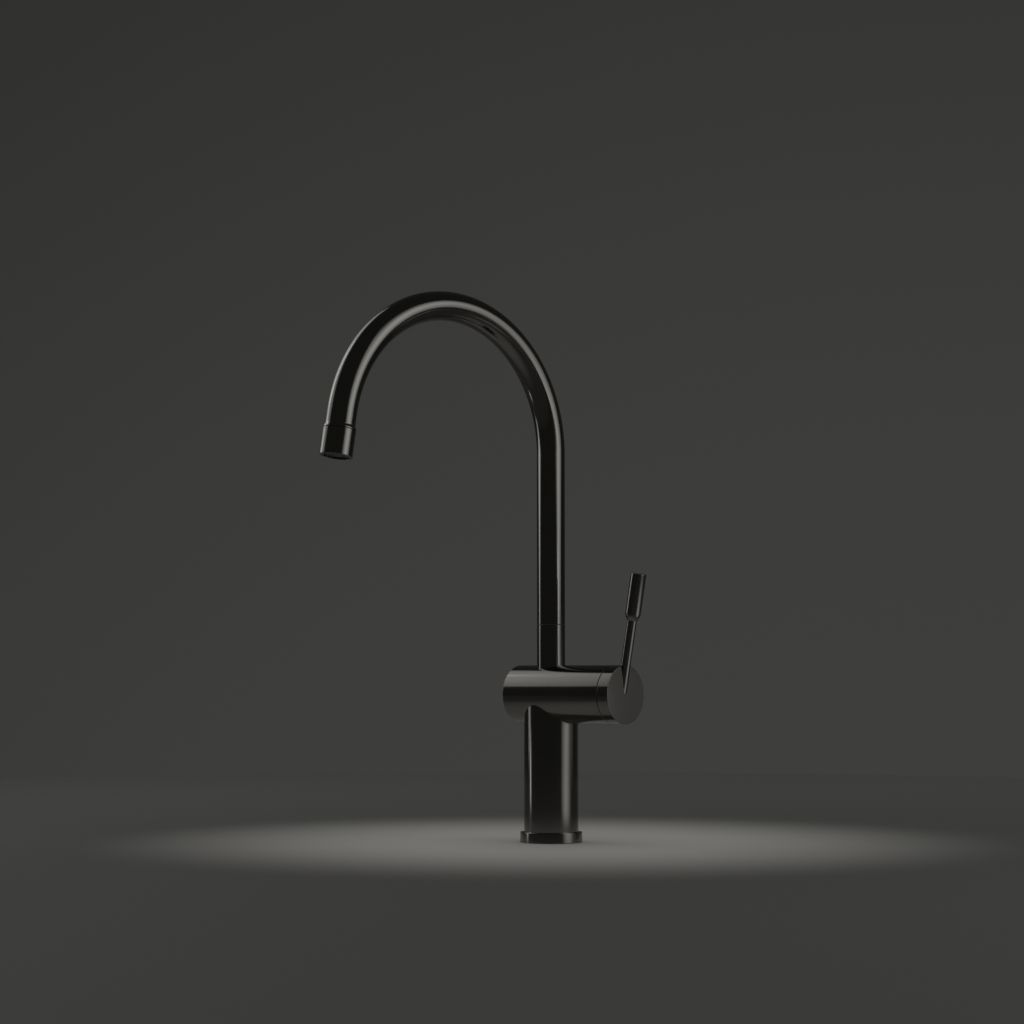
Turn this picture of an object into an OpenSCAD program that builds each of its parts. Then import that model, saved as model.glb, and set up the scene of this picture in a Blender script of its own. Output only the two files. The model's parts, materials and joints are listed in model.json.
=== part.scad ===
// Gooseneck kitchen mixer tap with a side lever, in millimetres.
// The origin is on the deck at the centre of the base. The lever is on the +X side and the user is at -Y.

/* [Base and column] */
// Outside diameter of the base ring
base_d = 48.6; // [46:0.1:56]
// Height of the base ring
base_h = 7.8; // [6:0.1:12]
// Thickness of the base ring's floor, which the column stands on
base_floor = 3; // [2.5:0.1:4]
// Diameter of the hole through the base ring's floor
base_hole_d = 34; // [33.5:0.1:35]
// Width of the gasket under the base ring
gasket_w = 3; // [2:0.1:4]
// Height of the gasket under the base ring
gasket_h = 1.5; // [1:0.1:2]
// Outside diameter of the column
column_d = 42; // [41:0.1:43.5]
// Wall of the column
column_wall = 3; // [2:0.1:3.5]
// Height of the barrel's axis above the deck
barrel_z = 113.6; // [95:0.1:140]

/* [Cross barrel] */
// Outside diameter of the cross barrel and of the lever cap
barrel_d = 45; // [44.5:0.1:50]
// Wall of the cross barrel
barrel_wall = 3; // [2.5:0.1:3.4]
// Length of the barrel from the column's axis to its closed end
barrel_left = 30.5; // [28:0.1:40]
// Length of the barrel from the column's axis to its open end
barrel_right = 62.7; // [61:0.1:75]
// Thickness of the plug in the closed end
plug_t = 4; // [3:0.1:6]
// Chamfer on the outer edges of the barrel, the cap, the base ring and the grip
edge = 0.5; // [0.3:0.05:1]

/* [Waterways] */
// How far the valve body reaches past the column's axis
valve_back = 20; // [16:0.1:22]
// Outside diameter of the two supply tubes
tube_d = 8; // [6:0.1:8.4]
// Wall of the two supply tubes
tube_wall = 1; // [0.6:0.1:1.5]
// Distance of each supply tube from the middle plane
tube_y = 8.5; // [8:0.1:9]
// Distance of the supply tubes behind the column's axis, towards the closed end
tube_back = 4; // [2:0.1:6]
// Depth of each supply channel under the barrel's axis
channel_drop = 6; // [5.5:0.1:6.5]
// Diameter of the supply channels and ports
port_d = 5.2; // [4:0.1:5.4]
// Diameter of the outlet channel and port
outlet_d = 6.8; // [5:0.1:7]
// Diameter of the bore that leads up to the spout
rise_d = 13; // [10:0.1:13.4]
// Height of the underside of the inlet block above the deck
block_z = 8; // [5:0.1:15]
// Height of the inlet block
block_h = 16; // [15:0.1:24]
// Depth of the threaded hose ports
hose_port_depth = 9; // [8:0.1:10]
// Bore of the threaded hose ports
hose_port_d = 9; // [8.4:0.1:9.4]

/* [Cartridge] */
// Distance from the barrel's open end to the valve body's seat
seat_depth = 36.5; // [36.2:0.1:40]
// Outside diameter of the cartridge
cartridge_d = 35; // [34:0.1:36]
// Thickness of the cartridge's base plate
plate_h = 4; // [3.4:0.1:4.2]
// Thickness of the fixed disc
fixed_disc_h = 3; // [2:0.1:3.2]
// Thickness of the moving disc
moving_disc_h = 4; // [3.6:0.1:4.2]
// Diameter of the ceramic discs
disc_d = 30; // [29.5:0.1:30.4]
// Depth of the mixing recess in the moving disc
recess_h = 1.5; // [1:0.1:1.7]
// Thickness of the spindle's flange
flange_h = 3; // [2:0.1:3.2]
// Diameter of the spindle's flange
flange_d = 24; // [20:0.1:24.4]
// Diameter of the spindle's shaft
spindle_d = 10; // [9.6:0.1:11]
// Width across the flats of the spindle's square end
spindle_square = 6.4; // [5.5:0.1:6.6]
// Thickness of the cartridge housing's front wall
housing_front = 4.6; // [3:0.1:4.8]
// Length of the cartridge housing's neck
neck_len = 7; // [6.4:0.1:7.2]
// Diameter of the cartridge housing's neck
neck_d = 18; // [16:0.1:19]
// Length of the nut that holds the cartridge
nut_h = 6; // [4:0.1:6.4]
// Angle that the lever turns through
lever_travel = 100; // [80:1:105]

/* [Lever] */
// Length of the lever cap in front of the seam
cap_len = 10.2; // [9.2:0.1:14]
// Diameter of the lever's rod
rod_d = 7.5; // [6:0.1:7.8]
// Outward lean of the rod
rod_tilt = 10.4; // [8:0.1:14]
// Height above the barrel's axis where the rod's axis leaves the cap's face
rod_cross = 21.4; // [19:0.1:24]
// Length of bare rod between the cap's face and the grip
rod_bare = 35.2; // [25:0.1:60]
// Diameter of the grip
grip_d = 12; // [10:0.1:16]
// Length of the grip
grip_len = 35.9; // [25:0.1:50]
// Length of the taper at the foot of the grip
grip_taper = 3.8; // [1:0.1:6]
// Diameter of the rod's end inside the grip
rod_pin_d = 5; // [4:0.1:5.6]
// Length of the rod's end inside the grip
rod_pin_len = 14; // [8:0.1:20]
// Diameter of the lever's set screw
set_screw_d = 4; // [3:0.1:4]
// Length of the lever's set screw
set_screw_len = 8; // [6:0.1:9]
// Slant of the lever's set screw
set_screw_tilt = 20; // [19:0.1:21]

/* [Spout] */
// Outside diameter of the spout tube and its collar
spout_d = 22; // [21.8:0.1:23]
// Wall of the spout tube
spout_wall = 1.5; // [1:0.1:1.6]
// Height of the collar's top above the barrel's axis
collar_h = 53.6; // [52:0.1:70]
// Bore of the collar, which the spout turns in
collar_bore = 17; // [16.6:0.1:17.4]
// Length of the straight riser above the collar
riser_len = 132; // [80:0.5:200]
// Radius of the arch at the middle of the tube
arch_r = 106; // [70:0.5:130]
// Angle that the arch turns through
arch_angle = 170.2; // [150:0.1:180]
// Straight length of the nozzle between the arch and the flare
tail_len = 9; // [4:0.1:20]
// Angle of the spout at rest, from the front towards the closed end of the barrel
spout_rest = 6; // [-30:0.5:30]
// Angle that the spout swings to each side of the front
spout_swing = 75; // [40:1:80]
// Length of the swivel's sleeve inside the riser
sleeve_up = 14; // [8:0.1:25]
// Thickness of the glide washer in the spout's seam
washer_t = 0.4; // [0.3:0.05:1]

/* [Aerator] */
// Outside diameter of the aerator
aerator_d = 24.2; // [23.8:0.1:27]
// Length of the aerator's housing
aerator_len = 20; // [19:0.1:30]
// Wall of the aerator's housing
aerator_wall = 1.4; // [1:0.1:1.5]
// Length of the flare between the spout tube and the aerator
flare_len = 3.1; // [2:0.1:5]
// Gap of the joint line above the aerator
aerator_seam = 0.3; // [0.2:0.05:0.5]
// Length of the threaded end that the aerator screws on
thread_len = 6.2; // [5:0.1:7]
// Width across the flats of the aerator's honeycomb cells
cell_w = 2.3; // [1.8:0.1:2.6]
// Thickness of the walls between the honeycomb cells
cell_wall = 0.6; // [0.5:0.05:1]

/* [Fixing under the worktop] */
// Thickness of the worktop
deck_t = 30; // [10:1:40]
// Diameter of the fixing stud
stud_d = 8; // [6:0.5:8]
// Distance of the stud from the column's axis
stud_x = 12; // [11:0.1:12]
// Length of stud screwed into the inlet block
stud_grip = 10; // [8:0.1:14]
// Length of stud under the nut
stud_tail = 16; // [5:0.5:40]
// Diameter of the clamp plate and its rubber washer
clamp_d = 54; // [50:0.5:60]
// Thickness of the clamp plate
clamp_t = 3; // [2:0.1:5]
// Thickness of the rubber washer
rubber_t = 3; // [2:0.1:5]
// Width of the slot that lets the hoses through the clamp plate
clamp_slot = 30; // [28:0.5:34]
// Width across the flats of the clamp nut
nut_flats = 13; // [11:0.5:16]
// Height of the clamp nut
clamp_nut_h = 8; // [5:0.5:25]

/* [Fits] */
// Radial gap of a running fit
run_gap = 0.08; // [0.04:0.01:0.1]
// Radial gap of a soldered, pressed or bonded joint
joint_gap = 0.05; // [0.02:0.01:0.08]
// Radial gap of a loose or threaded fit
fit_gap = 0.1; // [0.05:0.01:0.15]
// Gap between faces that turn past each other
face_gap = 0.2; // [0.1:0.05:0.25]
// Film of water and grease between the two ceramic discs and under the spout
film = 0.05; // [0.03:0.01:0.1]
// Width of the seam between the barrel and the lever cap
seam = 0.4; // [0.3:0.05:0.8]

/* [Hidden] */
$fn = 96;
gunmetal = [0.17, 0.165, 0.16];
brass = [0.72, 0.58, 0.34];
copper = [0.72, 0.45, 0.32];
steel = [0.62, 0.62, 0.63];
rubber = [0.08, 0.08, 0.08];
white_plastic = [0.88, 0.87, 0.84];
grey_plastic = [0.45, 0.46, 0.48];
ceramic = [0.93, 0.92, 0.88];

// Length by which a cut runs past the surface that it opens
over = 1;
// Depth by which one shape runs into another of the same piece
bite = 0.2;
// Gap round the rims of what turns inside the barrel
turn_gap = 0.3;

column_r = column_d / 2;
column_bore_r = column_r - column_wall;
// How far the barrel's wall reaches in over the column's bore
column_land = 2;
barrel_r = barrel_d / 2;
barrel_bore_r = barrel_r - barrel_wall;
valve_r = barrel_bore_r - fit_gap;

// Places along the barrel, from the valve body's seat to the lever cap's face
seat_x = barrel_right - seat_depth;
fixed_x = seat_x + plate_h;
moving_x = fixed_x + fixed_disc_h + film;
flange_x = moving_x + moving_disc_h + film;
front_x = flange_x + flange_h + face_gap;
neck_x = front_x + housing_front;
neck_end = neck_x + neck_len;
hub_gap = 1.2;
hub_x = neck_end + hub_gap;
cap_x = barrel_right + seam;
face_x = cap_x + cap_len;
// The square hole stops short of the rod's root, with the spindle just inside it
square_floor = 0.3;
square_end = cap_x - square_floor;
spindle_end = square_end - face_gap;
ring_inset = 2.6;
ring_x = hub_x + ring_inset;

// Cartridge details
port_r = sqrt(pow(tube_y, 2) + pow(channel_drop, 2));
port_angle = atan2(tube_y, -channel_drop);
seal_section = 1.4;
seal_groove = seal_section + 2 * joint_gap;
// Distance from a port's wall to the middle of the seal round it
seal_offset = 1;
peg_d = 2.4;
peg_h = 2;
peg_r = 14.4;
disc_gap = 0.4;
cavity_r = disc_d / 2 + disc_gap;
disc_rim = 1;
// Angles from closed at which the cold and the hot port start to open
cold_start = 10;
hot_start = 45;
port_half = asin(port_d / 2 / port_r);
// Half of the angle that the spindle's stop takes up, and its slack at each end
stop_half = 9;
stop_slack = 1;
stop_r = cavity_r - turn_gap;
// The two dogs that turn the moving disc
drive_r = 7.2;
drive_w = 3;
drive_h = 1.8;
seal_z = 4.2;
spindle_groove_r = spindle_d / 2 - seal_section;

// Supply tubes
tube_r = tube_d / 2;
tube_bore_r = tube_r - tube_wall;
tube_shoulder = 3.5;
tube_stop = barrel_z - channel_drop - tube_shoulder;
port_floor = 1;
tube_foot = block_z + hose_port_depth + port_floor;

// Lever
rod_r = rod_d / 2;
root_extra = 1;
root_len = rod_r / tan(rod_tilt) + root_extra;
plug_r = barrel_bore_r - turn_gap;
plug_wall = 3.5;
pocket_h = 5.8;
grip_foot_step = 0.3;
screw_r = set_screw_d / 2;
screw_tip_r = 0.6;
screw_point = 1.4;
screw_setback = 2.7;
screw_contact_x = cap_x - screw_setback;
screw_gap = 0.3;
hex_key_d = 2.3;
hex_key_depth = 2;

// Spout and swivel
spout_r = spout_d / 2;
spout_bore_r = spout_r - spout_wall;
collar_bore_r = collar_bore / 2;
collar_top = barrel_z + collar_h;
spigot_r = 9;
spigot_rise = 11;
spigot_foot = barrel_z + spigot_rise;
socket_floor = 3;
socket_z = barrel_z + barrel_r + socket_floor;
// The rise bore starts a little above the outlet channel's lowest line
rise_sill = 0.4;
riser_foot = collar_top + washer_t + film;
arch_z = riser_foot + riser_len;
swivel_r = collar_bore_r - run_gap;
swivel_bore_r = 5.3;
swivel_lift = 0.5;
swivel_foot = socket_z + swivel_lift;
o_ring_section = 1.6;
o_ring_groove_h = 2.2;
o_ring_groove_r = swivel_r - o_ring_section;
o_ring_low = 5.2;
o_ring_pitch = 3.8;
o_ring_z = [swivel_foot + o_ring_low, swivel_foot + o_ring_low + o_ring_pitch];
glide_h = 2;
glide_depth = 1;
glide_low = 0.8;
glide_drop = 5;
glide_z = [swivel_foot + glide_low, collar_top - glide_drop];
stop_rise = 14.4;
stop_z = swivel_foot + stop_rise;
stop_screw_d = 4;
stop_screw_inset = 0.4;
stop_key_depth = 1;
stop_point_d = 2.6;
stop_slot_h = 3.2;
stop_slot_depth = 1.6;
stop_slot_r = swivel_r - stop_slot_depth;
stop_point_half = asin(stop_point_d / 2 / stop_slot_r) + stop_slack;
spout_heading = 270 - spout_rest;

// Nozzle and aerator, measured along the outflow from the foot of the nozzle's straight part
aerator_r = aerator_d / 2;
thread_r = aerator_r - aerator_wall - fit_gap;
thread_end = flare_len + thread_len;
nozzle_step = 1.3;
nozzle_bore_r = spout_bore_r - nozzle_step;
socket_len = 0.6;
flare_land = 0.7;
housing_z = flare_len + aerator_seam;
housing_end = housing_z + aerator_len;
housing_edge = 0.8;
lip_h = 1.5;
lip_w = 0.9;
aerator_gasket_h = 1.5;
screen_h = 0.6;
screen_z = thread_end + aerator_gasket_h;
insert_z = screen_z + screen_h;
insert_r = aerator_r - aerator_wall - joint_gap;
insert_wall = 1.2;
insert_rim = 0.3;
chamber_h = 5;
cell_rings = 3;
screen_pitch = 2.2;
screen_hole_d = 1.5;

// Fixing
stud_r = stud_d / 2;
stud_top = block_z + stud_grip;
stud_edge = 1;
rubber_z = -deck_t - rubber_t;
plate_z = rubber_z - clamp_t;
clamp_nut_z = plate_z - clamp_nut_h;
clamp_web = 3.4;
slot_end = stud_x - stud_r - clamp_web;

// A ring between two radii, standing on z0
module ring(outer_r, inner_r, z0, h) {
    translate([0, 0, z0])
        difference() {
            cylinder(r = outer_r, h = h);
            translate([0, 0, -over])
                cylinder(r = inner_r, h = h + 2 * over);
        }
}

// A round bar from z0, with a chamfer at each end
module bar(r, z0, h, foot, top) {
    translate([0, 0, z0])
        rotate_extrude()
            polygon([[0, 0], [r - foot, 0], [r, foot], [r, h - top], [r - top, h], [0, h]]);
}

// A round section bent into a closed ring
module o_ring(mid_r, section_r, z) {
    translate([0, 0, z])
        rotate_extrude()
            translate([mid_r, 0])
                circle(section_r);
}

// A slice of a ring, from one angle to another
module sector(inner_r, outer_r, z0, h, from, to) {
    translate([0, 0, z0])
        rotate([0, 0, from])
            rotate_extrude(angle = to - from)
                translate([inner_r, 0])
                    square([outer_r - inner_r, h]);
}

// A socket for a hexagon key, sunk into the top of a screw
module hex_socket(top, depth) {
    translate([0, 0, top - depth])
        cylinder(d = hex_key_d, h = depth + over, $fn = 6);
}

// Frame of the barrel: z runs along +X, x points up and y points to the front
module along_barrel() {
    translate([0, 0, barrel_z])
        rotate([0, 90, 0])
            rotate([0, 0, 180])
                children();
}

// Frame of the lever's rod: z runs up the rod from where its axis leaves the cap's face
module along_rod() {
    translate([face_x, 0, barrel_z + rod_cross])
        rotate([0, rod_tilt, 0])
            children();
}

// Frame of the spout: x points along its reach
module spout_frame() {
    rotate([0, 0, spout_heading])
        children();
}

// Frame of the outlet: z runs along the outflow from the foot of the nozzle's straight part
module outlet_frame() {
    spout_frame()
        translate([arch_r, 0, arch_z])
            rotate([0, arch_angle, 0])
                translate([-arch_r, 0, tail_len])
                    children();
}

// The barrel's outside, grown by a gap, used to fit the column and the collar to it
module barrel_envelope(gap) {
    translate([-barrel_left - over, 0, barrel_z])
        rotate([0, 90, 0])
            cylinder(r = barrel_r + gap, h = barrel_left + barrel_right + 2 * over);
}

module base_ring() {
    gasket_mid = (base_hole_d + base_d) / 4;
    color(gunmetal)
        difference() {
            bar(base_d / 2, 0, base_h, 0, edge);
            translate([0, 0, base_floor])
                cylinder(r = column_r + joint_gap, h = base_h);
            translate([0, 0, -over])
                cylinder(d = base_hole_d, h = base_h);
            ring(gasket_mid + gasket_w / 2, gasket_mid - gasket_w / 2, -over, gasket_h + over);
        }
}

module base_gasket() {
    gasket_mid = (base_hole_d + base_d) / 4;
    color(rubber)
        ring(gasket_mid + gasket_w / 2 - fit_gap, gasket_mid - gasket_w / 2 + fit_gap, 0, gasket_h);
}

module column() {
    color(gunmetal)
        difference() {
            ring(column_r, column_bore_r, base_floor, barrel_z - base_floor);
            barrel_envelope(joint_gap);
        }
}

module inlet_block() {
    color(brass)
        difference() {
            translate([0, 0, block_z])
                cylinder(r = column_bore_r - joint_gap, h = block_h);
            for (side = [-1, 1])
                translate([-tube_back, side * tube_y, 0]) {
                    translate([0, 0, block_z - over])
                        cylinder(d = hose_port_d, h = hose_port_depth + over);
                    translate([0, 0, block_z])
                        cylinder(r = tube_bore_r, h = block_h);
                    translate([0, 0, tube_foot])
                        cylinder(r = tube_r + joint_gap, h = block_h);
                }
            translate([stud_x, 0, block_z - over])
                cylinder(r = stud_r + joint_gap, h = stud_grip + over);
        }
}

module supply_tube(side) {
    color(copper)
        translate([-tube_back, side * tube_y, 0])
            ring(tube_r, tube_bore_r, tube_foot, tube_stop - tube_foot);
}

module cold_tube() {
    supply_tube(-1);
}

module hot_tube() {
    supply_tube(1);
}

module cross_barrel() {
    color(gunmetal)
        difference() {
            along_barrel()
                difference() {
                    bar(barrel_r, -barrel_left, barrel_left + barrel_right, edge, edge / 2);
                    translate([0, 0, -barrel_left - over])
                        cylinder(r = barrel_bore_r, h = barrel_left + barrel_right + 2 * over);
                }
            translate([0, 0, barrel_z])
                cylinder(r = spigot_r + fit_gap, h = barrel_d);
            cylinder(r = column_bore_r - column_land, h = barrel_z);
        }
}

module barrel_end_plug() {
    color(gunmetal)
        along_barrel()
            bar(barrel_bore_r - joint_gap, -barrel_left, plug_t, edge / 2, 0);
}

module valve_body() {
    color(brass)
        difference() {
            along_barrel()
                difference() {
                    translate([0, 0, -valve_back])
                        cylinder(r = valve_r, h = valve_back + seat_x);
                    cylinder(d = outlet_d, h = seat_x + over);
                    for (side = [-1, 1]) {
                        translate([-channel_drop, side * tube_y, -tube_back])
                            cylinder(d = port_d, h = seat_x + tube_back + over);
                        translate([side * peg_r, 0, seat_x - peg_h - fit_gap])
                            cylinder(d = peg_d + 2 * fit_gap, h = peg_h + over);
                    }
                }
            translate([0, 0, barrel_z - outlet_d / 2 + rise_sill])
                cylinder(d = rise_d, h = barrel_r);
            translate([0, 0, spigot_foot])
                cylinder(r = spigot_r + joint_gap, h = barrel_r);
            for (side = [-1, 1])
                translate([-tube_back, side * tube_y, 0]) {
                    cylinder(r = tube_r + joint_gap, h = tube_stop);
                    cylinder(r = tube_bore_r, h = barrel_z - channel_drop);
                }
        }
}

module spout_collar() {
    color(gunmetal)
        difference() {
            union() {
                translate([0, 0, spigot_foot])
                    cylinder(r = spigot_r, h = barrel_r);
                difference() {
                    translate([0, 0, barrel_z])
                        cylinder(r = spout_r, h = collar_h);
                    barrel_envelope(joint_gap);
                }
            }
            translate([0, 0, barrel_z])
                cylinder(d = rise_d, h = collar_h + over);
            translate([0, 0, socket_z])
                cylinder(r = collar_bore_r, h = collar_h);
            translate([0, 0, stop_z])
                rotate([-90, 0, 0])
                    cylinder(d = stop_screw_d + 2 * joint_gap, h = spout_d);
        }
}

module swing_stop_screw() {
    head_y = collar_bore_r + run_gap;
    head_end = spout_r - stop_screw_inset;
    color(steel)
        translate([0, 0, stop_z])
            rotate([-90, 0, 0])
                difference() {
                    union() {
                        translate([0, 0, head_y])
                            cylinder(d = stop_screw_d, h = head_end - head_y);
                        translate([0, 0, stop_slot_r + face_gap])
                            cylinder(d = stop_point_d, h = head_y - stop_slot_r);
                    }
                    hex_socket(head_end, stop_key_depth);
                }
}

module glide_washer() {
    color(rubber)
        ring(spout_r - fit_gap, collar_bore_r + 2 * fit_gap, collar_top, washer_t);
}

module cartridge_seals() {
    color(rubber)
        along_barrel() {
            o_ring(outlet_d / 2 + seal_offset, seal_section / 2, seat_x + seal_groove / 2);
            for (side = [-1, 1])
                translate([-channel_drop, side * tube_y, 0])
                    o_ring(port_d / 2 + seal_offset, seal_section / 2, seat_x + seal_groove / 2);
        }
}

module seal_groove_cut(mid_r) {
    ring(mid_r + seal_groove / 2, mid_r - seal_groove / 2, seat_x - over, seal_groove + over);
}

module cartridge_base() {
    color(white_plastic)
        along_barrel()
            difference() {
                union() {
                    translate([0, 0, seat_x])
                        cylinder(d = cartridge_d, h = plate_h);
                    for (side = [-1, 1])
                        translate([side * peg_r, 0, seat_x - peg_h])
                            cylinder(d = peg_d, h = peg_h + bite);
                }
                translate([0, 0, seat_x - over])
                    cylinder(d = outlet_d, h = plate_h + 2 * over);
                seal_groove_cut(outlet_d / 2 + seal_offset);
                for (side = [-1, 1])
                    translate([-channel_drop, side * tube_y, 0]) {
                        translate([0, 0, seat_x - over])
                            cylinder(d = port_d, h = plate_h + 2 * over);
                        seal_groove_cut(port_d / 2 + seal_offset);
                    }
            }
}

module fixed_disc() {
    color(ceramic)
        along_barrel()
            difference() {
                translate([0, 0, fixed_x])
                    cylinder(d = disc_d, h = fixed_disc_h);
                translate([0, 0, fixed_x - over])
                    cylinder(d = outlet_d, h = fixed_disc_h + 2 * over);
                for (side = [-1, 1])
                    translate([-channel_drop, side * tube_y, fixed_x - over])
                        cylinder(d = port_d, h = fixed_disc_h + 2 * over);
            }
}

// The housing's rib leaves room for the spindle's stop to turn from closed to fully hot
module cartridge_housing() {
    rib_x = flange_x + turn_gap;
    color(grey_plastic)
        along_barrel()
            difference() {
                union() {
                    difference() {
                        translate([0, 0, fixed_x])
                            cylinder(d = cartridge_d, h = neck_x - fixed_x);
                        translate([0, 0, fixed_x - over])
                            cylinder(r = cavity_r, h = front_x - fixed_x + over);
                    }
                    sector(flange_d / 2 + turn_gap, cavity_r + bite, rib_x, front_x - rib_x + bite,
                        lever_travel + stop_half + stop_slack, 360 - stop_half - stop_slack);
                    translate([0, 0, neck_x - bite])
                        cylinder(d = neck_d, h = neck_len + bite);
                }
                translate([0, 0, front_x - over])
                    cylinder(r = spindle_d / 2 + run_gap, h = neck_end - front_x + 2 * over);
            }
}

module cartridge_nut() {
    notch_w = 4;
    notch_h = 2;
    color(brass)
        along_barrel()
            difference() {
                ring(barrel_bore_r - fit_gap, neck_d / 2 + turn_gap, neck_x, nut_h);
                for (turn = [0 : 90 : 270])
                    rotate([0, 0, turn])
                        translate([neck_d / 2, -notch_w / 2, neck_x + nut_h - notch_h])
                            cube([notch_w, notch_w, notch_h + over]);
            }
}

// The recess joins the ports to the outlet: cold first, then both, then mostly hot
module moving_disc() {
    hollow_r = 6;
    cold_span = 60;
    hot_lead = 2;
    lobe_r = disc_d / 2 - 2 * disc_rim;
    cold_to = port_angle - port_half - cold_start;
    hot_to = 360 - port_angle - port_half - hot_start;
    hot_from = port_angle + port_half + hot_lead;
    color(ceramic)
        along_barrel()
            difference() {
                translate([0, 0, moving_x])
                    cylinder(r = disc_d / 2 - disc_rim, h = moving_disc_h);
                translate([0, 0, moving_x - over])
                    cylinder(r = hollow_r, h = recess_h + over);
                for (span = [[cold_to - cold_span, cold_to], [hot_from, hot_to]])
                    sector(hollow_r - over, lobe_r, moving_x - over, recess_h + over, span[0], span[1]);
                for (turn = [0, 180])
                    rotate([0, 0, turn])
                        translate([drive_r - fit_gap, -drive_w / 2 - fit_gap,
                            moving_x + moving_disc_h - drive_h - film])
                            cube([disc_d, drive_w + 2 * fit_gap, drive_h + over]);
            }
}

module spindle() {
    color(brass)
        along_barrel()
            difference() {
                union() {
                    translate([0, 0, flange_x])
                        cylinder(d = flange_d, h = flange_h);
                    sector(flange_d / 2 - over, stop_r, flange_x + 2 * turn_gap,
                        flange_h - 2 * turn_gap - bite, -stop_half, stop_half);
                    for (turn = [0, 180])
                        rotate([0, 0, turn])
                            translate([drive_r, -drive_w / 2, flange_x - drive_h])
                                cube([flange_d / 2 - drive_r - edge, drive_w, drive_h + flange_h / 2]);
                    translate([0, 0, flange_x + flange_h / 2])
                        cylinder(d = spindle_d, h = neck_end - flange_x - flange_h / 2);
                    translate([-spindle_square / 2, -spindle_square / 2, neck_end - over])
                        cube([spindle_square, spindle_square, spindle_end - neck_end + over]);
                }
                ring(spindle_d, spindle_groove_r, neck_x + seal_z - seal_groove / 2, seal_groove);
            }
}

module spindle_seal() {
    color(rubber)
        along_barrel()
            o_ring(spindle_d / 2 - seal_section / 2 + joint_gap, seal_section / 2 - joint_gap,
                neck_x + seal_z);
}

// Frame of the set screw: z runs from its contact with the spindle out to the cap's underside
module along_set_screw() {
    translate([screw_contact_x, 0, barrel_z - spindle_square / 2])
        rotate([0, 180 - set_screw_tilt, 0])
            children();
}

module lever_cap() {
    square_hole = spindle_square + 2 * joint_gap;
    color(gunmetal)
        difference() {
            along_barrel()
                difference() {
                    union() {
                        bar(barrel_r, cap_x, cap_len, edge / 2, edge);
                        translate([0, 0, hub_x])
                            cylinder(r = plug_r, h = cap_x - hub_x + bite);
                    }
                    ring(plug_r - plug_wall, neck_d / 2, hub_x - over, pocket_h + over);
                    ring(barrel_r, plug_r - glide_depth, ring_x - joint_gap, glide_h + 2 * joint_gap);
                    translate([-square_hole / 2, -square_hole / 2, hub_x - over])
                        cube([square_hole, square_hole, square_end - hub_x + over]);
                }
            along_rod()
                translate([0, 0, -root_len])
                    cylinder(r = rod_r + joint_gap, h = root_len + barrel_r);
            along_set_screw()
                cylinder(r = screw_r + joint_gap, h = barrel_d);
        }
}

module cap_glide_ring() {
    color(white_plastic)
        along_barrel()
            ring(barrel_bore_r - run_gap, plug_r - glide_depth + joint_gap, ring_x, glide_h);
}

module lever_rod() {
    color(gunmetal)
        along_rod() {
            translate([0, 0, -root_len])
                cylinder(r = rod_r, h = root_len + rod_bare);
            translate([0, 0, rod_bare - over])
                cylinder(d = rod_pin_d, h = rod_pin_len + over);
        }
}

module lever_grip() {
    color(gunmetal)
        along_rod()
            difference() {
                translate([0, 0, rod_bare])
                    rotate_extrude()
                        polygon([[0, 0], [rod_r + grip_foot_step, 0], [grip_d / 2, grip_taper],
                            [grip_d / 2, grip_len - edge], [grip_d / 2 - edge, grip_len], [0, grip_len]]);
                translate([0, 0, rod_bare - over])
                    cylinder(r = rod_pin_d / 2 + joint_gap, h = rod_pin_len + face_gap + over);
            }
}

module lever_set_screw() {
    color(steel)
        along_set_screw()
            difference() {
                translate([0, 0, screw_gap])
                    rotate_extrude()
                        polygon([[0, 0], [screw_tip_r, 0], [screw_r, screw_point],
                            [screw_r, set_screw_len], [0, set_screw_len]]);
                hex_socket(screw_gap + set_screw_len, hex_key_depth);
            }
}

// The tube is a straight riser that runs into the arch
module spout_tube() {
    color(gunmetal)
        spout_frame() {
            ring(spout_r, spout_bore_r, riser_foot, riser_len);
            translate([arch_r, 0, arch_z])
                rotate([90, 0, 0])
                    mirror([1, 0, 0])
                        rotate_extrude(angle = arch_angle)
                            translate([arch_r, 0])
                                difference() {
                                    circle(spout_r);
                                    circle(spout_bore_r);
                                }
        }
}

module swivel_sleeve() {
    color(brass)
        spout_frame()
            difference() {
                union() {
                    translate([0, 0, swivel_foot])
                        cylinder(r = swivel_r, h = riser_foot - swivel_foot + over);
                    translate([0, 0, riser_foot])
                        cylinder(r = spout_bore_r - joint_gap, h = sleeve_up);
                }
                translate([0, 0, swivel_foot - over])
                    cylinder(r = swivel_bore_r, h = riser_foot + sleeve_up - swivel_foot + 2 * over);
                for (z = o_ring_z)
                    ring(spout_d, o_ring_groove_r, z - o_ring_groove_h / 2, o_ring_groove_h);
                for (z = glide_z)
                    ring(spout_d, swivel_r - glide_depth, z - joint_gap, glide_h + 2 * joint_gap);
                rotate([0, 0, -spout_heading])
                    stop_slot();
            }
}

// The slot lets the sleeve turn round the fixed stop screw, which stands at the back
module stop_slot() {
    sector(stop_slot_r, spout_d, stop_z - stop_slot_h / 2, stop_slot_h,
        90 - spout_rest - spout_swing - stop_point_half,
        90 - spout_rest + spout_swing + stop_point_half);
}

module swivel_o_rings() {
    color(rubber)
        for (z = o_ring_z)
            o_ring(swivel_r - o_ring_section / 2 + joint_gap, o_ring_section / 2 - joint_gap / 2, z);
}

module swivel_glide_rings() {
    color(white_plastic)
        for (z = glide_z)
            ring(swivel_r + run_gap / 2, swivel_r - glide_depth + joint_gap, z, glide_h);
}

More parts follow.
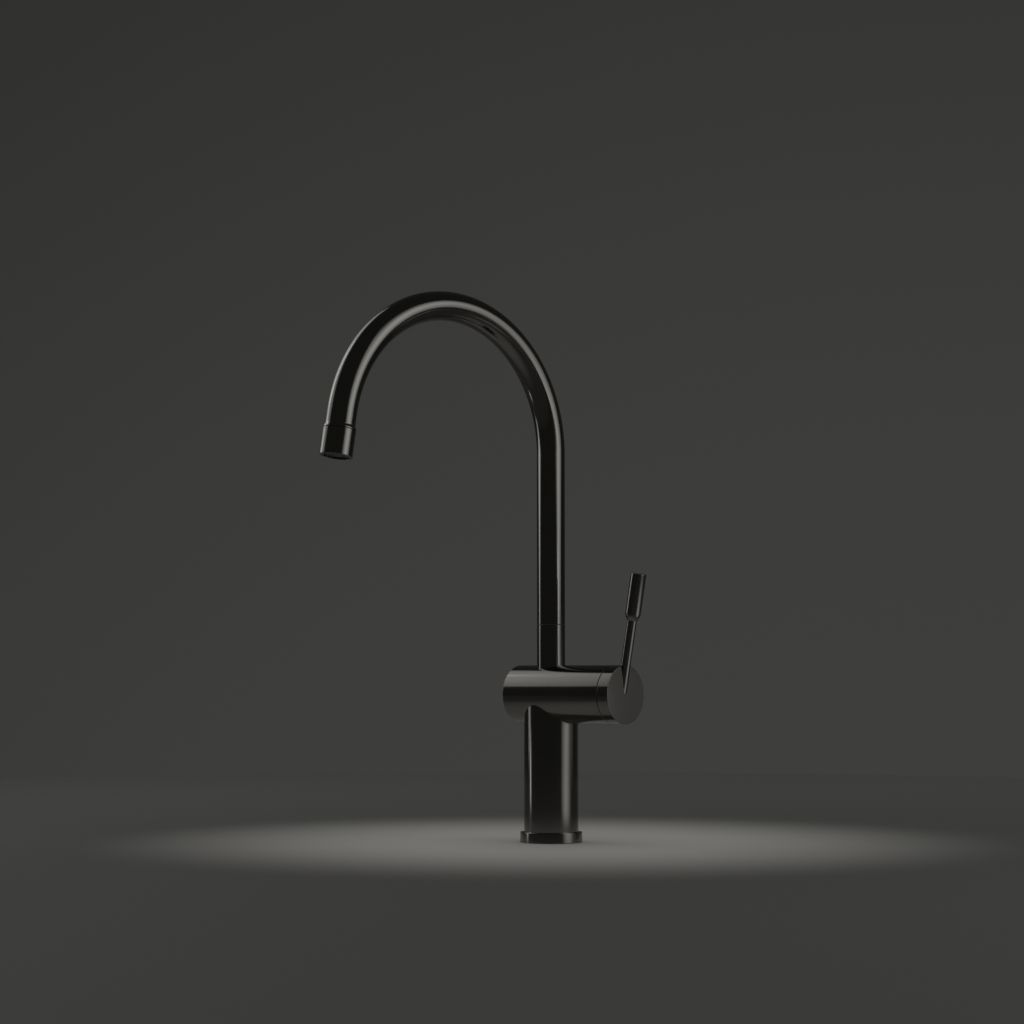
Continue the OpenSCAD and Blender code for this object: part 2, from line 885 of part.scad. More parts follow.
module spout_nozzle() {
    flare_h = flare_len - flare_land;
    color(gunmetal)
        outlet_frame()
            difference() {
                union() {
                    translate([0, 0, -tail_len - socket_len])
                        cylinder(r = spout_bore_r - joint_gap, h = tail_len + socket_len + 1);
                    translate([0, 0, -tail_len])
                        cylinder(r = spout_r, h = tail_len);
                    rotate_extrude()
                        polygon([[0, 0], [spout_r, 0], [aerator_r, flare_h],
                            [aerator_r, flare_len], [0, flare_len]]);
                    translate([0, 0, flare_len - over])
                        cylinder(r = thread_r, h = thread_len + over);
                }
                translate([0, 0, -tail_len - socket_len - over])
                    cylinder(r = nozzle_bore_r, h = tail_len + socket_len + thread_end + 2 * over);
            }
}

module aerator_housing() {
    shoulder_r = aerator_r - aerator_wall;
    color(gunmetal)
        outlet_frame()
            difference() {
                bar(aerator_r, housing_z, aerator_len, housing_edge, edge);
                translate([0, 0, housing_z - over])
                    cylinder(r = shoulder_r, h = aerator_len - lip_h + over);
                translate([0, 0, housing_z])
                    cylinder(r = shoulder_r - lip_w, h = aerator_len + over);
            }
}

module aerator_gasket() {
    color(rubber)
        outlet_frame()
            ring(insert_r - joint_gap, nozzle_bore_r, thread_end, aerator_gasket_h);
}

// Centres of the cells in a hexagonal field, a given number of rings round the middle one
function honeycomb(rings, pitch) = [
    for (row = [-rings : rings])
        for (place = [0 : 2 * rings - abs(row)])
            [(place - rings + abs(row) / 2) * pitch, row * pitch * sqrt(3) / 2]
];

module aerator_screen() {
    color(steel)
        outlet_frame()
            difference() {
                translate([0, 0, screen_z])
                    cylinder(r = insert_r, h = screen_h);
                for (place = honeycomb(cell_rings, screen_pitch))
                    translate([place[0], place[1], screen_z - over])
                        cylinder(d = screen_hole_d, h = screen_h + 2 * over);
            }
}

module aerator_insert() {
    insert_h = housing_end - lip_h - insert_z;
    cell_r = cell_w / 2 / cos(30);
    color(grey_plastic)
        outlet_frame()
            difference() {
                translate([0, 0, insert_z])
                    cylinder(r = insert_r, h = insert_h);
                translate([0, 0, insert_z - over])
                    cylinder(r = insert_r - insert_wall, h = chamber_h + over);
                for (place = honeycomb(cell_rings, cell_w + cell_wall))
                    if (norm(place) + cell_r < insert_r - insert_rim)
                        translate([place[0], place[1], insert_z])
                            cylinder(r = cell_r, h = insert_h + over, $fn = 6);
            }
}

module fixing_stud() {
    color(steel)
        translate([stud_x, 0, 0])
            bar(stud_r, clamp_nut_z - stud_tail, stud_top - clamp_nut_z + stud_tail, stud_edge, 0);
}

// A round plate with a slot for the hoses and a hole for the stud
module horseshoe(z0, h) {
    translate([0, 0, z0])
        difference() {
            cylinder(d = clamp_d, h = h);
            translate([-clamp_d, -clamp_slot / 2, -over])
                cube([clamp_d + slot_end, clamp_slot, h + 2 * over]);
            translate([stud_x, 0, -over])
                cylinder(r = stud_r + 2 * fit_gap, h = h + 2 * over);
        }
}

module rubber_washer() {
    color(rubber)
        horseshoe(rubber_z, rubber_t);
}

module clamp_plate() {
    color(steel)
        horseshoe(plate_z, clamp_t);
}

module clamp_nut() {
    color(brass)
        translate([stud_x, 0, clamp_nut_z])
            difference() {
                cylinder(d = nut_flats / cos(30), h = clamp_nut_h, $fn = 6);
                translate([0, 0, -over])
                    cylinder(r = stud_r + joint_gap, h = clamp_nut_h + 2 * over);
            }
}

base_ring();
base_gasket();
column();
inlet_block();
cold_tube();
hot_tube();
cross_barrel();
barrel_end_plug();
valve_body();
spout_collar();
swing_stop_screw();
glide_washer();
cartridge_seals();
cartridge_base();
fixed_disc();
cartridge_housing();
cartridge_nut();
moving_disc();
spindle();
spindle_seal();
lever_cap();
cap_glide_ring();
lever_rod();
lever_grip();
lever_set_screw();
spout_tube();
swivel_sleeve();
swivel_o_rings();
swivel_glide_rings();
spout_nozzle();
aerator_housing();
aerator_gasket();
aerator_screen();
aerator_insert();
fixing_stud();
rubber_washer();
clamp_plate();
clamp_nut();
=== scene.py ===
import json
import math

import bpy
from mathutils import Matrix, Vector


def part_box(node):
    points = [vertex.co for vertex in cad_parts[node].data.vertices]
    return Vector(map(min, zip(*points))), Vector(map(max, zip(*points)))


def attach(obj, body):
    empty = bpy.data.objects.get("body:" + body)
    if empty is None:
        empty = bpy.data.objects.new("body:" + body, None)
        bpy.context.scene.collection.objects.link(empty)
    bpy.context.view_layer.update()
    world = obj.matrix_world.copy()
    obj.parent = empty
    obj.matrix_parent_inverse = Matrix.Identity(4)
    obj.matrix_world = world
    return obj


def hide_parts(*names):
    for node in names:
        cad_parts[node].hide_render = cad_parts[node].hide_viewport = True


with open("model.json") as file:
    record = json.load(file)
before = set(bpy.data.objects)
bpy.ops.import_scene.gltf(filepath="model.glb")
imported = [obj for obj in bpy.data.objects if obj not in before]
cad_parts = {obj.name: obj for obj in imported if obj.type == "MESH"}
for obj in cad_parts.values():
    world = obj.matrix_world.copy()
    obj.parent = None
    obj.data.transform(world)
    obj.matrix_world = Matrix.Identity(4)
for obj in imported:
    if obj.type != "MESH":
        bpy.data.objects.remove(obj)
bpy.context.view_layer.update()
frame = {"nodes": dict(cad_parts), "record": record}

MM = 0.001

# Sides of the round pieces and of the bars that cut them
SIDES = 128
LARGE_SIDES = 192
SLIM_SIDES = 96
ENVELOPE_SIDES = 256
SCREW_HOLE_SIDES = 48
FLOOR_SIDES = 160
ARCH_STEPS = 120

# Settings of the modelling steps
WELD = 0.001 * MM
ON_RING = 0.002 * MM
ROUND_PROFILE = 0.5
CREASE = math.radians(35)
FACE_WEIGHT = 100

# Fixed sizes that the frame's boxes don't give, as the real tap has them
SEAM = 0.4 * MM
JOINT_GAP = 0.05 * MM
FOOT_HOLE = 17 * MM
FOOT_FLOOR = 3 * MM
FOOT_DRAFT = 0.36 * MM
GROOVE_INNER = 19.15 * MM
GROOVE_OUTER = 22.15 * MM
GROOVE_DEPTH = 1.5 * MM
COLUMN_WALL = 3 * MM
BARREL_WALL = 3 * MM
COLLAR_BORE = 8.5 * MM
STOP_HOLE = 2.05 * MM
CAP_CLEARANCE = 0.3 * MM
ENVELOPE_SPARE = 10 * MM
SPOUT_WALL = 1.5 * MM
ARCH_RADIUS = 106 * MM
ARCH_ANGLE = math.radians(170.2)
SPOUT_HEADING = math.radians(264)
TAIL = 9 * MM
FLARE = 3.1 * MM
FLARE_LAND = 0.7 * MM
NOZZLE_BORE = 8.2 * MM
THREAD_LENGTH = 6.2 * MM
THREAD_CLEARANCE = 0.1 * MM
AERATOR_RADIUS = 12.1 * MM
AERATOR_LENGTH = 20 * MM
AERATOR_WALL = 1.4 * MM
AERATOR_SEAM = 0.3 * MM
AERATOR_LIP = 1.5 * MM
AERATOR_LIP_WIDTH = 0.9 * MM
ROD_RADIUS = 3.75 * MM
ROD_TILT = math.radians(10.4)
ROD_CROSS = 21.4 * MM
ROD_ROOT = ROD_RADIUS / math.tan(ROD_TILT) + 1 * MM
ROD_CHANNEL = 60 * MM
ROD_BARE = 35.2 * MM
GRIP_RADIUS = 6 * MM
GRIP_FOOT = 4.05 * MM
GRIP_LENGTH = 35.9 * MM
GRIP_TAPER = 3.8 * MM

# Roundings of the edges, from the finest to the grip's shoulder
SHARP = 0
FINE_EDGE = 0.1 * MM
FOOT_EDGE = 0.15 * MM
FLARE_EDGE = 0.15 * MM
CAP_INNER_EDGE = 0.2 * MM
PLUG_EDGE = 0.25 * MM
SMALL_EDGE = 0.3 * MM
CAP_RIM = 0.35 * MM
SEAM_EDGE = 0.4 * MM
FOOT_RIM = 0.45 * MM
EDGE = 0.5 * MM
GRIP_END = 0.55 * MM
FLARE_ROOT = 0.8 * MM
GRIP_SHOULDER = 2 * MM
RING_SEGMENTS = 4
SPOUT_FOOT_SEGMENTS = 3

# The floor has a painted pool of light round the tap: it is pale up to POOL_FULL_TO and has the
# room's tone from POOL_END on, measured from the tap.
# That tone goes from near to far between FAR_GLOW_FROM and FAR_GLOW_TO, measured from the floor's
# front edge, and is painted a little lighter far behind the tap.
FLOOR_RADIUS = 1.3
FLOOR_DROP = 0.2 * MM
POOL_FULL_TO = 0.08
POOL_END = 0.38
FAR_GLOW_FROM = FLOOR_RADIUS
FAR_GLOW_TO = 1.8 * FLOOR_RADIUS
# The pale colour is a painted pool of light round the tap. The near tone is the unlit floor beyond
# it, and the far tone is painted a little lighter behind the tap.
FLOOR_LIGHT_POOL = (0.2, 0.198, 0.192)
FLOOR_UNLIT_NEAR = (0.049, 0.049, 0.0468)
FLOOR_LIT_FAR = (0.0602, 0.0599, 0.0571)

# The room is lightest in the direction ROOM_GLOW
ROOM_GLOW = (-0.485, 0.818, -0.309)
ROOM_DARK = (0.0275, 0.0275, 0.0258)
ROOM_LIGHT = (0.049, 0.0488, 0.0457)
FILL_TINT = (1, 0.99, 0.96)
FILL_STRENGTH = 0.85

# The softboxes' tint, and the angle in degrees over which a grid cuts off their light
CARD_TINT = (1, 0.985, 0.95)
GRID_FADE = 8

# The camera stands in front, to the lever's side, a little above the barrel's axis
CAMERA_PLACE = (1230.7 * MM, -1478.5 * MM, 131.6 * MM)
CAMERA_AZIMUTH = math.radians(40.677)
CAMERA_PITCH = math.radians(3.676)
CAMERA_LENS = 86.98
CAMERA_SENSOR = 36
CAMERA_NEAREST = 0.05

# Sizes read from the frame
foot_lo, foot_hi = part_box("base_ring")
foot_r = (foot_hi.x - foot_lo.x) / 2
foot_top = foot_hi.z
column_lo, column_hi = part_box("column")
column_r = (column_hi.x - column_lo.x) / 2
barrel_lo, barrel_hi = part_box("cross_barrel")
barrel_r = (barrel_hi.z - barrel_lo.z) / 2
barrel_z = (barrel_hi.z + barrel_lo.z) / 2
plug_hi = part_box("barrel_end_plug")[1]
cap_lo, cap_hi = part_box("lever_cap")
collar_lo, collar_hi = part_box("spout_collar")
spout_r = (collar_hi.x - collar_lo.x) / 2
spout_lo, spout_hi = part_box("spout_tube")
arch_z = spout_hi.z - ARCH_RADIUS - spout_r
stop_lo, stop_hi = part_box("swing_stop_screw")
stop_z = (stop_lo.z + stop_hi.z) / 2

# Places of the turned pieces: each is modelled on the Z axis, then laid on its own axis
ON_BARREL = Matrix.Translation((0, 0, barrel_z)) @ Matrix.Rotation(math.pi / 2, 4, "Y")
ON_ROD = Matrix.Translation((cap_hi.x, 0, barrel_z + ROD_CROSS)) @ Matrix.Rotation(ROD_TILT, 4, "Y")
ON_SPOUT = Matrix.Rotation(SPOUT_HEADING, 4, "Z")
ON_OUTLET = (
    ON_SPOUT
    @ Matrix.Translation((ARCH_RADIUS, 0, arch_z))
    @ Matrix.Rotation(ARCH_ANGLE, 4, "Y")
    @ Matrix.Translation((-ARCH_RADIUS, 0, TAIL))
)


def deselect():
    if bpy.context.object and bpy.context.object.mode != "OBJECT":
        bpy.ops.object.mode_set(mode="OBJECT")
    bpy.ops.object.select_all(action="DESELECT")


def make_active(piece):
    deselect()
    piece.select_set(True)
    bpy.context.view_layer.objects.active = piece


def pick_ring(piece, radius, height):
    """Selects the edges that lie on one ring of a turned piece, and enters edit mode."""
    bpy.ops.object.mode_set(mode="EDIT")
    bpy.ops.mesh.select_mode(type="EDGE")
    bpy.ops.mesh.select_all(action="DESELECT")
    bpy.ops.object.mode_set(mode="OBJECT")
    on_ring = [
        abs(v.co.z - height) < ON_RING and abs(math.hypot(v.co.x, v.co.y) - radius) < ON_RING
        for v in piece.data.vertices
    ]
    for edge in piece.data.edges:
        edge.select = on_ring[edge.vertices[0]] and on_ring[edge.vertices[1]]
    bpy.ops.object.mode_set(mode="EDIT")


def round_ring(piece, radius, height, size, segments=RING_SEGMENTS):
    """Rounds one ring of edges of a turned piece, and stays in edit mode."""
    pick_ring(piece, radius, height)
    bpy.ops.mesh.bevel(offset=size, segments=segments, profile=ROUND_PROFILE, affect="EDGES")


def weld():
    """Joins the doubled corners of the piece in edit mode, and turns its faces outwards."""
    bpy.ops.mesh.select_all(action="SELECT")
    bpy.ops.mesh.remove_doubles(threshold=WELD)
    bpy.ops.mesh.normals_make_consistent(inside=False)


def turned(name, outline, sides=SIDES, hollow=False):
    """A turned piece on the Z axis. A ring of edges is drawn out through each (radius, height,
    rounding) of its outline. A hollow piece's outline closes on itself, and a solid one is capped
    at both ends."""
    deselect()
    radius, height = outline[0][:2]
    bpy.ops.mesh.primitive_circle_add(vertices=sides, radius=radius, location=(0, 0, height))
    piece = bpy.context.active_object
    piece.name = name
    bpy.ops.object.transform_apply(location=True)
    bpy.ops.object.mode_set(mode="EDIT")
    bpy.ops.mesh.select_all(action="SELECT")
    stops = outline[1:] + (outline[:1] if hollow else [])
    for next_radius, next_height, _ in stops:
        grow = next_radius / radius
        rise = (0, 0, next_height - height)
        bpy.ops.mesh.extrude_edges_move(TRANSFORM_OT_translate={"value": rise})
        bpy.ops.transform.resize(value=(grow, grow, 1), center_override=(0, 0, 0))
        radius, height = next_radius, next_height
    if not hollow:
        # The ring drawn last is still picked, so it is capped first, and then the first ring
        bpy.ops.mesh.edge_face_add()
        pick_ring(piece, *outline[0][:2])
        bpy.ops.mesh.edge_face_add()
    weld()
    for ring_radius, ring_height, rounding in outline:
        if rounding:
            round_ring(piece, ring_radius, ring_height, rounding)
    bpy.ops.object.mode_set(mode="OBJECT")
    return piece


def lay(piece, place):
    """Turns and moves a piece to its place, and leaves its object at the origin."""
    make_active(piece)
    piece.matrix_world = place @ piece.matrix_world
    bpy.ops.object.transform_apply(location=True, rotation=True, scale=True)
    return piece


def rod_cutter(radius, length, place, sides=SIDES):
    """A plain round bar from the origin of a place, used only to cut another piece."""
    deselect()
    bpy.ops.mesh.primitive_cylinder_add(
        vertices=sides, radius=radius, depth=length, location=(0, 0, length / 2)
    )
    cutter = bpy.context.active_object
    bpy.ops.object.transform_apply(location=True)
    return lay(cutter, place)


def cut(piece, cutter):
    """Takes the cutter's shape out of a piece, and removes the cutter."""
    make_active(piece)
    modifier = piece.modifiers.new("cut", "BOOLEAN")
    modifier.operation = "DIFFERENCE"
    modifier.solver = "EXACT"
    modifier.object = cutter
    bpy.ops.object.modifier_apply(modifier=modifier.name)
    bpy.data.objects.remove(cutter, do_unlink=True)
    return piece


def finish_piece(piece, material, body, slot, *nodes):
    """Shades a piece, gives it its material, ties it to the body and hides the CAD nodes that it
    stands for."""
    make_active(piece)
    bpy.ops.object.shade_smooth_by_angle(angle=CREASE)
    weights = piece.modifiers.new("weights", "WEIGHTED_NORMAL")
    weights.keep_sharp = True
    weights.weight = FACE_WEIGHT
    bpy.ops.object.modifier_apply(modifier=weights.name)
    piece.data.materials.clear()
    piece.data.materials.append(material)
    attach(piece, body)
    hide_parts(*nodes)


def new_material(name):
    material = bpy.data.materials.new(name)
    material.use_nodes = True
    return material, material.node_tree, material.node_tree.nodes["Principled BSDF"]


def object_place(tree):
    return tree.nodes.new("ShaderNodeTexCoord").outputs["Object"]


def noise(tree, place, scale, detail):
    """Soft noise of a given density."""
    texture = tree.nodes.new("ShaderNodeTexNoise")
    texture.inputs["Scale"].default_value = scale
    texture.inputs["Detail"].default_value = detail
    tree.links.new(place, texture.inputs["Vector"])
    return texture.outputs["Fac"]


def remap(tree, value, start=0, end=1, low=0, high=1, smooth=False):
    """Takes a value's span from start to end over to the span from low to high."""
    span = tree.nodes.new("ShaderNodeMapRange")
    if smooth:
        span.interpolation_type = "SMOOTHSTEP"
    span.inputs["From Min"].default_value = start
    span.inputs["From Max"].default_value = end
    span.inputs["To Min"].default_value = low
    span.inputs["To Max"].default_value = high
    tree.links.new(value, span.inputs["Value"])
    return span.outputs["Result"]


def multiply(tree, value, factor):
    """Multiplies a value by a number or by another value."""
    product = tree.nodes.new("ShaderNodeMath")
    product.operation = "MULTIPLY"
    tree.links.new(value, product.inputs[0])
    if isinstance(factor, bpy.types.NodeSocket):
        tree.links.new(factor, product.inputs[1])
    else:
        product.inputs[1].default_value = factor
    return product.outputs[0]


def vector_step(tree, operation, place, vector):
    """A step of vector arithmetic between a place and a fixed vector, which gives one value."""
    step = tree.nodes.new("ShaderNodeVectorMath")
    step.operation = operation
    step.inputs[1].default_value = vector
    tree.links.new(place, step.inputs[0])
    return step.outputs["Value"]


def mix_colours(tree, factor, first, second):
    """Goes from the first colour to the second while the factor goes from 0 to 1."""
    mix = tree.nodes.new("ShaderNodeMix")
    mix.data_type = "RGBA"
    for name, colour in (("A", first), ("B", second)):
        if isinstance(colour, bpy.types.NodeSocket):
            tree.links.new(colour, mix.inputs[name])
        else:
            mix.inputs[name].default_value = (*colour, 1)
    tree.links.new(factor, mix.inputs["Factor"])
    return mix.outputs["Result"]


def add_relief(tree, shader, height, strength, depth):
    relief = tree.nodes.new("ShaderNodeBump")
    relief.inputs["Strength"].default_value = strength
    relief.inputs["Distance"].default_value = depth
    tree.links.new(height, relief.inputs["Height"])
    tree.links.new(relief.outputs["Normal"], shader.inputs["Normal"])


def polish_group():
    """Fine polishing: faint lines along one axis, and soft smears left by a cloth."""
    group = bpy.data.node_groups.new("fine_polish", "ShaderNodeTree")
    for name, side, kind in (
        ("Lines", "INPUT", "NodeSocketVector"), ("Roughness", "INPUT", "NodeSocketFloat"),
        ("Roughness", "OUTPUT", "NodeSocketFloat"), ("Height", "OUTPUT", "NodeSocketFloat"),
    ):
        group.interface.new_socket(name=name, in_out=side, socket_type=kind)
    enter = group.nodes.new("NodeGroupInput")
    leave = group.nodes.new("NodeGroupOutput")
    place = object_place(group)
    stretch = group.nodes.new("ShaderNodeVectorMath")
    stretch.operation = "MULTIPLY"
    group.links.new(place, stretch.inputs[0])
    group.links.new(enter.outputs["Lines"], stretch.inputs[1])
    lines = noise(group, stretch.outputs[0], scale=1, detail=3)
    smear = noise(group, place, scale=28, detail=2)
    spread = remap(group, smear, start=0.3, end=0.7, low=0.85, high=1.2)
    rough = multiply(group, enter.outputs["Roughness"], spread)
    group.links.new(rough, leave.inputs["Roughness"])
    group.links.new(lines, leave.inputs["Height"])
    return group


def metal(name, colour, deep, roughness, lines, bump):
    """A metal finish: two close tones, polishing lines of a given density and a faint relief."""
    material, tree, shader = new_material(name)
    shader.inputs["Metallic"].default_value = 1
    cloud = noise(tree, object_place(tree), scale=14, detail=3)
    tree.links.new(mix_colours(tree, cloud, deep, colour), shader.inputs["Base Color"])
    polish = tree.nodes.new("ShaderNodeGroup")
    polish.node_tree = POLISH
    polish.inputs["Lines"].default_value = lines
    polish.inputs["Roughness"].default_value = roughness
    tree.links.new(polish.outputs["Roughness"], shader.inputs["Roughness"])
    add_relief(tree, shader, polish.outputs["Height"], strength=bump, depth=0.02 * MM)
    return material


def moulded(name, colour, deep, roughness, grain, bump):
    """A moulded or fired finish: plastic, rubber or ceramic with a fine grain."""
    material, tree, shader = new_material(name)
    speck = noise(tree, object_place(tree), scale=grain, detail=4)
    tree.links.new(mix_colours(tree, speck, deep, colour), shader.inputs["Base Color"])
    sheen = remap(tree, speck, low=roughness * 0.85, high=roughness * 1.15)
    tree.links.new(sheen, shader.inputs["Roughness"])
    add_relief(tree, shader, speck, strength=bump, depth=0.05 * MM)
    return material


# Densities of the polishing lines, for lines that run up the Z axis or along the X axis
UP = (2500, 2500, 60)
ALONG = (60, 2500, 2500)

GUNMETAL = (0.19, 0.186, 0.178)
GUNMETAL_DEEP = (0.172, 0.168, 0.161)
POLISH = polish_group()

gunmetal_up = metal(
    "gunmetal_upright", GUNMETAL, GUNMETAL_DEEP, roughness=0.12, lines=UP, bump=0.02
)
gunmetal_along = metal(
    "gunmetal_along", GUNMETAL, GUNMETAL_DEEP, roughness=0.12, lines=ALONG, bump=0.03
)

# The finish of each slot in the record
FINISHES = {
    "dark_metal": gunmetal_up,
    "brass": metal(
        "turned_brass", (0.72, 0.55, 0.30), (0.62, 0.45, 0.23), roughness=0.28, lines=UP, bump=0.25
    ),
    "copper": metal(
        "drawn_copper", (0.74, 0.42, 0.30), (0.62, 0.33, 0.22), roughness=0.3, lines=UP, bump=0.2
    ),
    "steel": metal(
        "machined_steel", (0.58, 0.58, 0.59), (0.48, 0.48, 0.49), roughness=0.3, lines=UP, bump=0.3
    ),
    "rubber": moulded(
        "black_rubber", (0.017, 0.017, 0.0175), (0.012, 0.012, 0.012),
        roughness=0.6, grain=900, bump=0.25,
    ),
    "white_plastic": moulded(
        "white_plastic", (0.80, 0.79, 0.76), (0.74, 0.73, 0.70),
        roughness=0.42, grain=700, bump=0.1,
    ),
    "grey_plastic": moulded(
        "grey_plastic", (0.15, 0.152, 0.155), (0.12, 0.122, 0.125),
        roughness=0.42, grain=700, bump=0.12,
    ),
    "ceramic": moulded(
        "white_ceramic", (0.88, 0.87, 0.83), (0.84, 0.83, 0.79),
        roughness=0.2, grain=500, bump=0.05,
    ),
}


def dress_nodes():
    """Gives each CAD node the finish of its slot in the record."""
    for part in frame["record"]["subparts"]:
        node = frame["nodes"][part["node"]]
        node.data.materials.clear()
        node.data.materials.append(FINISHES[part["material_slot"]])


def barrel_envelope():
    """A bar as wide as the barrel, which cuts the pieces that stand against it."""
    reach = barrel_hi.x - barrel_lo.x + 2 * ENVELOPE_SPARE
    place = (
        Matrix.Translation((barrel_lo.x - ENVELOPE_SPARE, 0, barrel_z))
        @ Matrix.Rotation(math.pi / 2, 4, "Y")
    )
    return rod_cutter(barrel_r + JOINT_GAP, reach, place, sides=ENVELOPE_SIDES)


def make_base_ring():
    """The foot ring, with the gasket's groove below and the column's seat above. Its wall leans in
    a little towards the top."""
    seat_r = column_r + JOINT_GAP
    outline = [
        (FOOT_HOLE, 0, SHARP), (GROOVE_INNER, 0, SHARP), (GROOVE_INNER, GROOVE_DEPTH, SHARP),
        (GROOVE_OUTER, GROOVE_DEPTH, SHARP), (GROOVE_OUTER, 0, SHARP), (foot_r, 0, FOOT_EDGE),
        (foot_r - FOOT_DRAFT, foot_top, FOOT_RIM), (seat_r, foot_top, FINE_EDGE),
        (seat_r, FOOT_FLOOR, SHARP), (FOOT_HOLE, FOOT_FLOOR, SHARP),
    ]
    piece = turned("foot_ring", outline, hollow=True)
    finish_piece(piece, gunmetal_up, "tap_body", "dark_metal", "base_ring")


def make_column():
    """The upright column. It is drawn past the barrel's underside and cut to its curve."""
    top = barrel_z - barrel_r / 4
    bore_r = column_r - COLUMN_WALL
    outline = [
        (bore_r, column_lo.z, SHARP), (column_r, column_lo.z, SHARP), (column_r, top, SHARP),
        (bore_r, top, SHARP),
    ]
    piece = turned("upright_column", outline, sides=LARGE_SIDES, hollow=True)
    piece = cut(piece, barrel_envelope())
    finish_piece(piece, gunmetal_up, "tap_body", "dark_metal", "column")


def make_barrel():
    """The barrel's shell, open at both ends."""
    bore_r = barrel_r - BARREL_WALL
    outline = [
        (bore_r, barrel_lo.x, FINE_EDGE), (barrel_r, barrel_lo.x, EDGE),
        (barrel_r, barrel_hi.x, SEAM_EDGE), (bore_r, barrel_hi.x, FINE_EDGE),
    ]
    piece = turned("barrel_shell", outline, sides=LARGE_SIDES, hollow=True)
    lay(piece, ON_BARREL)
    finish_piece(piece, gunmetal_along, "tap_body", "dark_metal", "cross_barrel")


def make_end_plug():
    """The disc that closes the barrel's left end."""
    radius = barrel_r - BARREL_WALL - JOINT_GAP
    outline = [(radius, barrel_lo.x, PLUG_EDGE), (radius, plug_hi.x, SHARP)]
    piece = lay(turned("end_plug", outline), ON_BARREL)
    finish_piece(piece, gunmetal_along, "tap_body", "dark_metal", "barrel_end_plug")


def make_collar():
    """The fixed collar under the spout, cut to the barrel's curve, with the stop screw's hole in
    its back."""
    start = barrel_z + barrel_r / 2
    outline = [
        (COLLAR_BORE, start, SHARP), (spout_r, start, SHARP), (spout_r, collar_hi.z, FINE_EDGE),
        (COLLAR_BORE, collar_hi.z, SHARP),
    ]
    piece = cut(turned("spout_collar_shell", outline, hollow=True), barrel_envelope())
    to_back = Matrix.Translation((0, 0, stop_z)) @ Matrix.Rotation(-math.pi / 2, 4, "X")
    piece = cut(piece, rod_cutter(STOP_HOLE, 2 * spout_r, to_back, sides=SCREW_HOLE_SIDES))
    finish_piece(piece, gunmetal_up, "tap_body", "dark_metal", "spout_collar")


def make_cap():
    """The turning end of the barrel, with a plug that enters the shell, and a rod channel."""
    front = barrel_hi.x + SEAM
    plug_r = barrel_r - BARREL_WALL - CAP_CLEARANCE
    outline = [
        (plug_r, cap_lo.x, CAP_INNER_EDGE), (plug_r, front, SHARP), (barrel_r, front, SEAM_EDGE),
        (barrel_r, cap_hi.x, CAP_RIM),
    ]
    piece = lay(turned("cap_shell", outline, sides=LARGE_SIDES), ON_BARREL)
    from_root = ON_ROD @ Matrix.Translation((0, 0, -ROD_ROOT))
    channel = rod_cutter(ROD_RADIUS + JOINT_GAP, ROD_CHANNEL, from_root, sides=SLIM_SIDES)
    piece = cut(piece, channel)
    finish_piece(piece, gunmetal_along, "lever", "dark_metal", "lever_cap")


def make_rod():
    outline = [(ROD_RADIUS, -ROD_ROOT, SHARP), (ROD_RADIUS, ROD_BARE, FINE_EDGE)]
    piece = lay(turned("lever_stem", outline, sides=SLIM_SIDES), ON_ROD)
    finish_piece(piece, gunmetal_up, "lever", "dark_metal", "lever_rod")


def make_grip():
    outline = [
        (GRIP_FOOT, ROD_BARE, FINE_EDGE), (GRIP_RADIUS, ROD_BARE + GRIP_TAPER, GRIP_SHOULDER),
        (GRIP_RADIUS, ROD_BARE + GRIP_LENGTH, GRIP_END),
    ]
    piece = lay(turned("lever_handle", outline, sides=SLIM_SIDES), ON_ROD)
    finish_piece(piece, gunmetal_up, "lever", "dark_metal", "lever_grip")


def make_spout():
    """The riser is drawn up from its foot, and spun round the arch's centre."""
    deselect()
    bpy.ops.mesh.primitive_circle_add(
        vertices=SLIM_SIDES, radius=spout_r, location=(0, 0, spout_lo.z)
    )
    piece = bpy.context.active_object
    piece.name = "spout_pipe"
    bpy.ops.object.transform_apply(location=True)
    bpy.ops.object.mode_set(mode="EDIT")
    bpy.ops.mesh.select_all(action="SELECT")
    rise = (0, 0, arch_z - spout_lo.z)
    bpy.ops.mesh.extrude_edges_move(TRANSFORM_OT_translate={"value": rise})
    bpy.ops.mesh.spin(
        steps=ARCH_STEPS, angle=-ARCH_ANGLE, center=(ARCH_RADIUS, 0, arch_z), axis=(0, 1, 0)
    )
    weld()
    bpy.ops.object.mode_set(mode="OBJECT")
    wall = piece.modifiers.new("wall", "SOLIDIFY")
    wall.thickness = SPOUT_WALL
    wall.offset = -1
    wall.use_even_offset = True
    bpy.ops.object.modifier_apply(modifier=wall.name)
    round_ring(piece, spout_r, spout_lo.z, FINE_EDGE, segments=SPOUT_FOOT_SEGMENTS)
    bpy.ops.object.mode_set(mode="OBJECT")
    lay(piece, ON_SPOUT)
    finish_piece(piece, gunmetal_up, "spout", "dark_metal", "spout_tube")


def make_nozzle():
    """The straight end of the spout, with its flare and the screwed neck inside the aerator."""
    neck_r = AERATOR_RADIUS - AERATOR_WALL - THREAD_CLEARANCE
    neck_end = FLARE + THREAD_LENGTH
    outline = [
        (NOZZLE_BORE, -TAIL, SHARP), (spout_r, -TAIL, SHARP), (spout_r, 0, FLARE_ROOT),
        (AERATOR_RADIUS, FLARE - FLARE_LAND, EDGE), (AERATOR_RADIUS, FLARE, FLARE_EDGE),
        (neck_r, FLARE, SHARP), (neck_r, neck_end, SMALL_EDGE), (NOZZLE_BORE, neck_end, SMALL_EDGE),
    ]
    piece = lay(turned("nozzle_flare", outline, hollow=True), ON_OUTLET)
    finish_piece(piece, gunmetal_up, "spout", "dark_metal", "spout_nozzle")


